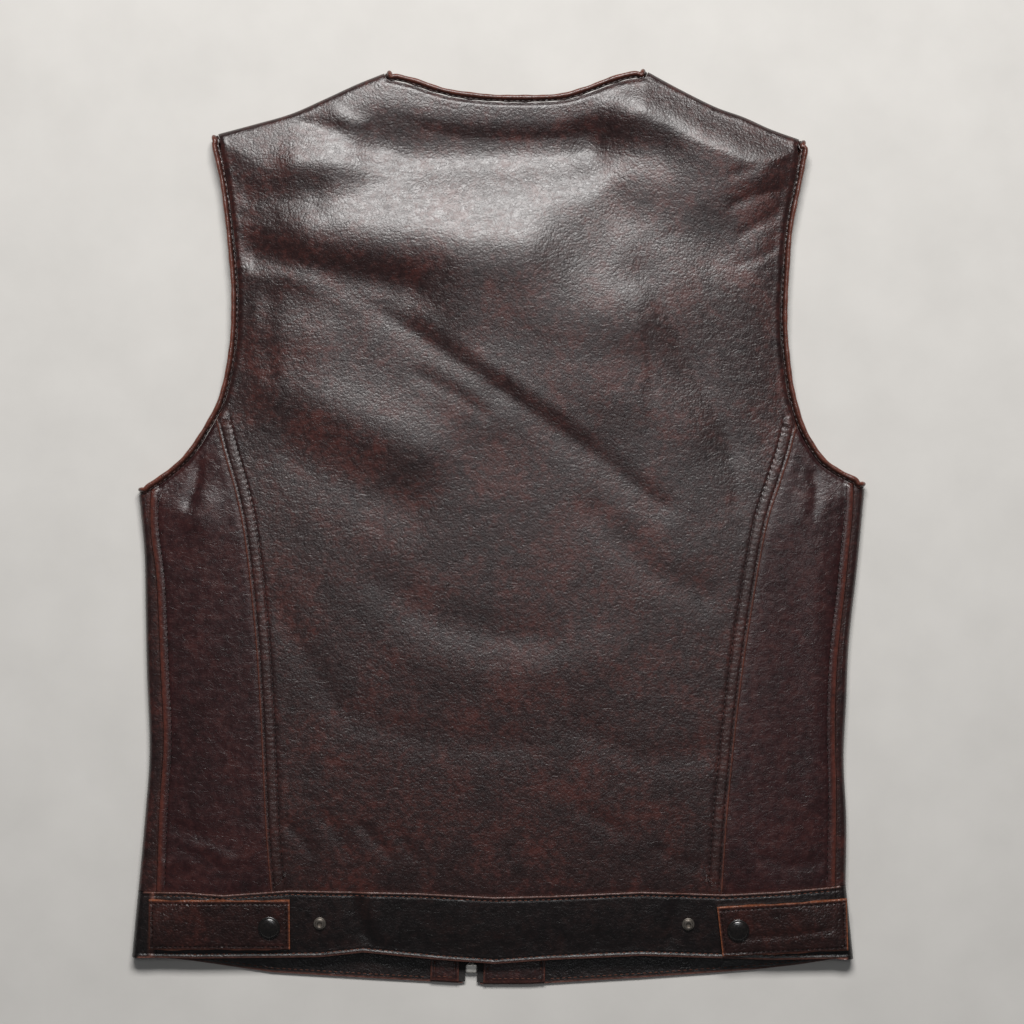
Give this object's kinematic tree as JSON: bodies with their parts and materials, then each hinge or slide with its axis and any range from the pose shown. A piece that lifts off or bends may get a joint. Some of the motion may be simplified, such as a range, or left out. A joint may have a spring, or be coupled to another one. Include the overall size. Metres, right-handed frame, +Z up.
{
  "type": "leather vest",
  "caption": "Collarless waxed leather vest laid flat, face down: wide back, curved side panels, waistband with snap adjuster tabs, bound armholes and neck, zip front",
  "frame": {"origin": "on the surface that the vest lies on, under the middle of its box", "axes": "+X to the wearer's right, which is the picture's right; +Y from hem to neck; +Z up from the surface, through the back"},
  "size_m": [0.5437, 0.6789, 0.0246],
  "materials": {
    "body_leather": "waxed, pebbled",
    "side_leather": "waxed, smooth",
    "waist_leather": "waxed, near black",
    "rolled_leather": "rubbed edge",
    "tab_leather": "waxed, pebbled",
    "zip_cloth": "black woven tape",
    "zip_metal": "dark nickel",
    "box_metal": "bright nickel",
    "snap_metal": "black lacquer",
    "stud_metal": "dark"
  },
  "bodies": {
    "vest": {"back": "body_leather", "back_waistband": "waist_leather", "neck_binding": "rolled_leather", "side_panel_left": "side_leather", "side_panel_right": "side_leather", "front_left": "body_leather", "front_right": "body_leather", "front_waistband_left": "waist_leather", "front_waistband_right": "waist_leather", "front_facing_left": "body_leather", "front_facing_right": "body_leather", "armhole_binding_left": "rolled_leather", "armhole_binding_right": "rolled_leather", "tab_left": "tab_leather", "tab_right": "tab_leather", "zip_tape_left": "zip_cloth", "zip_tape_right": "zip_cloth", "zip_chain": "zip_metal", "zip_box": "box_metal", "zip_slider": "zip_metal", "snap_cap_left": "snap_metal", "snap_cap_right": "snap_metal", "snap_stud_left": "stud_metal", "snap_stud_right": "stud_metal"},
    "zip_pull": {"zip_pull": "zip_metal"}
  },
  "joints": [
    {"name": "zip_pull_swing", "type": "hinge", "parent": "vest", "child": "zip_pull", "pos_m": [-0.00995, 0.0986, 0.0026], "axis": [1, 0, 0], "range_deg": [0, 170]}
  ]
}
